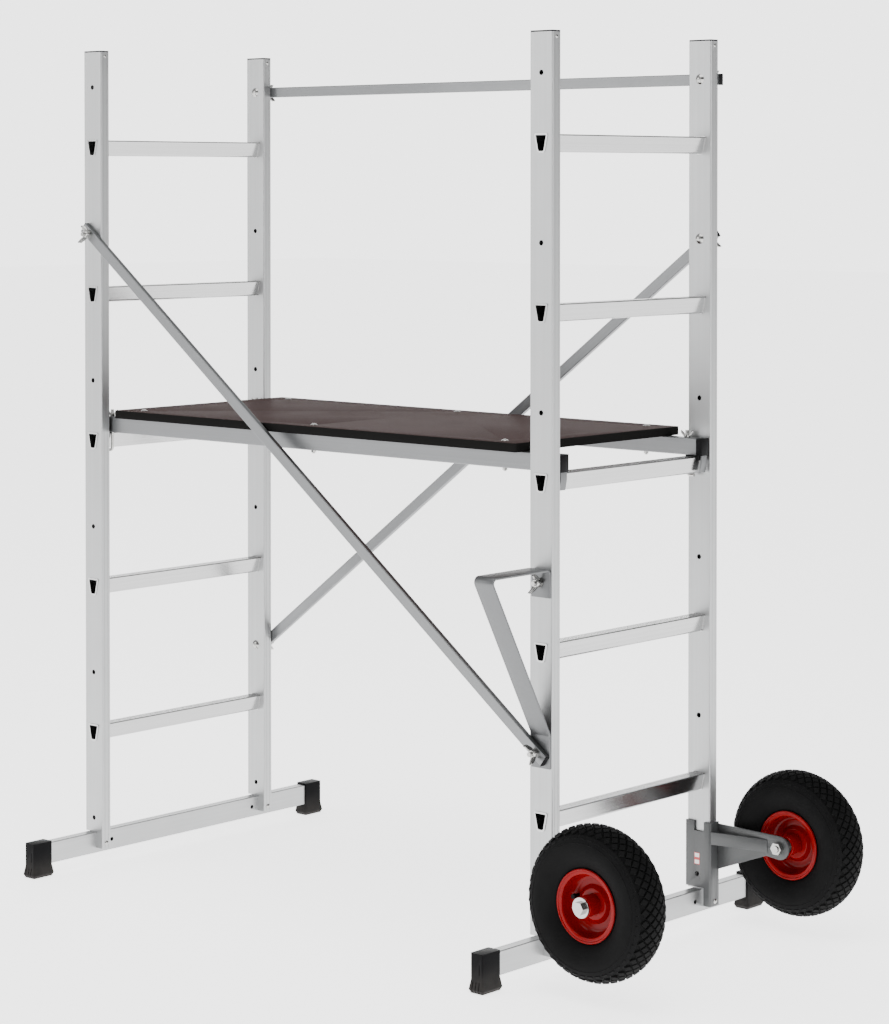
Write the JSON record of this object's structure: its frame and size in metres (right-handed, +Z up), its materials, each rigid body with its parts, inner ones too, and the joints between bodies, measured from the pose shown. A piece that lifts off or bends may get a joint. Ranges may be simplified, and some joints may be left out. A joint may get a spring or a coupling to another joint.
{
  "type": "frame scaffold section",
  "caption": "Aluminium rolling scaffold section: two ladder frames with a hooked plywood platform, diagonals, guard rail and pneumatic wheels.",
  "frame": {"origin": "on the floor under the middle of the whole, wheels included", "axes": "+Z up, +X along the platform towards the wheels, +Y along the rungs towards the guard rail side"},
  "size_m": [1.4371, 0.772, 1.5585],
  "materials": {
    "stile_aluminium": "satin extruded aluminium",
    "rung_aluminium": "bright extruded aluminium",
    "brace_aluminium": "dull extruded aluminium",
    "zinc_steel": "zinc plated flat steel",
    "bracket_paint": "grey powder coat",
    "black_plastic": "moulded black plastic",
    "soft_plastic": "soft black plastic",
    "platform_plywood": "film-faced plywood, mesh print, black edges",
    "tyre_rubber": "black treaded rubber",
    "rim_red": "gloss red paint",
    "bright_steel": "bright zinc plated steel"
  },
  "bodies": {
    "frame": {"left_front_stile": "stile_aluminium", "left_rear_stile": "stile_aluminium", "right_front_stile": "stile_aluminium", "right_rear_stile": "stile_aluminium", "left_rungs": "rung_aluminium", "right_rungs": "rung_aluminium", "left_base_bar": "stile_aluminium", "right_base_bar": "stile_aluminium", "base_feet": "black_plastic", "stile_caps": "black_plastic", "frame_screws": "bright_steel", "front_brace": "brace_aluminium", "rear_brace": "brace_aluminium", "guard_rail": "brace_aluminium", "tube_end_plugs": "black_plastic", "clamp_bolts": "bright_steel", "clamp_washers": "bright_steel", "strap_bracket": "zinc_steel", "platform_panel": "platform_plywood", "front_platform_rail": "brace_aluminium", "rear_platform_rail": "brace_aluminium", "rail_end_plugs": "black_plastic", "rail_claws": "zinc_steel", "rung_saddles": "soft_plastic", "platform_fasteners": "bright_steel", "front_bracket_angle": "bracket_paint", "rear_bracket_angle": "bracket_paint", "front_bracket_arm": "bracket_paint", "rear_bracket_arm": "bracket_paint", "axle_bolts": "bright_steel", "axle_spacers": "bright_steel", "axle_fasteners": "bright_steel"},
    "front_wheel": {"front_tyre": "tyre_rubber", "front_rim": "rim_red", "front_hub": "rim_red", "front_bearings": "zinc_steel", "front_valve": "black_plastic"},
    "rear_wheel": {"rear_tyre": "tyre_rubber", "rear_rim": "rim_red", "rear_hub": "rim_red", "rear_bearings": "zinc_steel", "rear_valve": "black_plastic"},
    "left_front_brace_wing_nut": {"left_front_brace_wing_nut": "bright_steel"},
    "right_front_strap_wing_nut": {"right_front_strap_wing_nut": "bright_steel"},
    "right_front_brace_wing_nut": {"right_front_brace_wing_nut": "bright_steel"},
    "left_rear_guard_wing_nut": {"left_rear_guard_wing_nut": "bright_steel"},
    "right_rear_guard_wing_nut": {"right_rear_guard_wing_nut": "bright_steel"},
    "right_rear_brace_wing_nut": {"right_rear_brace_wing_nut": "bright_steel"},
    "left_rear_brace_wing_nut": {"left_rear_brace_wing_nut": "bright_steel"},
    "left_front_hook": {"left_front_hook": "bright_steel"},
    "left_front_hook_nut": {"left_front_hook_nut": "bright_steel"},
    "left_rear_hook": {"left_rear_hook": "bright_steel"},
    "left_rear_hook_nut": {"left_rear_hook_nut": "bright_steel"},
    "right_front_hook": {"right_front_hook": "bright_steel"},
    "right_front_hook_nut": {"right_front_hook_nut": "bright_steel"},
    "right_rear_hook": {"right_rear_hook": "bright_steel"},
    "right_rear_hook_nut": {"right_rear_hook_nut": "bright_steel"}
  },
  "joints": [
    {"name": "front_wheel_spin", "type": "hinge", "parent": "frame", "child": "front_wheel", "pos_m": [0.59155, -0.2776, 0.1555], "axis": [0, 1, 0], "continuous": true},
    {"name": "rear_wheel_spin", "type": "hinge", "parent": "frame", "child": "rear_wheel", "pos_m": [0.59155, 0.2776, 0.1555], "axis": [0, 1, 0], "continuous": true},
    {"name": "left_front_brace_wing_nut_turn", "type": "hinge", "parent": "frame", "child": "left_front_brace_wing_nut", "pos_m": [-0.69095, -0.23805, 1.209], "axis": [0, -1, 0], "continuous": true},
    {"name": "right_front_strap_wing_nut_turn", "type": "hinge", "parent": "frame", "child": "right_front_strap_wing_nut", "pos_m": [0.43105, -0.23205, 0.649], "axis": [0, -1, 0], "continuous": true},
    {"name": "right_front_brace_wing_nut_turn", "type": "hinge", "parent": "frame", "child": "right_front_brace_wing_nut", "pos_m": [0.43105, -0.2422, 0.369], "axis": [0, -1, 0], "continuous": true},
    {"name": "left_rear_guard_wing_nut_turn", "type": "hinge", "parent": "frame", "child": "left_rear_guard_wing_nut", "pos_m": [-0.69095, 0.23805, 1.489], "axis": [0, 1, 0], "continuous": true},
    {"name": "right_rear_guard_wing_nut_turn", "type": "hinge", "parent": "frame", "child": "right_rear_guard_wing_nut", "pos_m": [0.43105, 0.23805, 1.489], "axis": [0, 1, 0], "continuous": true},
    {"name": "right_rear_brace_wing_nut_turn", "type": "hinge", "parent": "frame", "child": "right_rear_brace_wing_nut", "pos_m": [0.43105, 0.23805, 1.209], "axis": [0, 1, 0], "continuous": true},
    {"name": "left_rear_brace_wing_nut_turn", "type": "hinge", "parent": "frame", "child": "left_rear_brace_wing_nut", "pos_m": [-0.69095, 0.23805, 0.369], "axis": [0, 1, 0], "continuous": true},
    {"name": "left_front_hook_swivel", "type": "hinge", "parent": "frame", "child": "left_front_hook", "pos_m": [-0.67385, -0.192, 0.8595], "axis": [0, 0, -1], "range_deg": [0, 90]},
    {"name": "left_front_hook_nut_turn", "type": "hinge", "parent": "left_front_hook", "child": "left_front_hook_nut", "pos_m": [-0.67385, -0.192, 0.85965], "axis": [0, 0, 1], "continuous": true},
    {"name": "left_rear_hook_swivel", "type": "hinge", "parent": "frame", "child": "left_rear_hook", "pos_m": [-0.67385, 0.192, 0.8595], "axis": [0, 0, 1], "range_deg": [0, 90]},
    {"name": "left_rear_hook_nut_turn", "type": "hinge", "parent": "left_rear_hook", "child": "left_rear_hook_nut", "pos_m": [-0.67385, 0.192, 0.85965], "axis": [0, 0, 1], "continuous": true},
    {"name": "right_front_hook_swivel", "type": "hinge", "parent": "frame", "child": "right_front_hook", "pos_m": [0.41395, -0.192, 0.8595], "axis": [0, 0, 1], "range_deg": [0, 90]},
    {"name": "right_front_hook_nut_turn", "type": "hinge", "parent": "right_front_hook", "child": "right_front_hook_nut", "pos_m": [0.41395, -0.192, 0.85965], "axis": [0, 0, 1], "continuous": true},
    {"name": "right_rear_hook_swivel", "type": "hinge", "parent": "frame", "child": "right_rear_hook", "pos_m": [0.41395, 0.192, 0.8595], "axis": [0, 0, -1], "range_deg": [0, 90]},
    {"name": "right_rear_hook_nut_turn", "type": "hinge", "parent": "right_rear_hook", "child": "right_rear_hook_nut", "pos_m": [0.41395, 0.192, 0.85965], "axis": [0, 0, 1], "continuous": true}
  ]
}
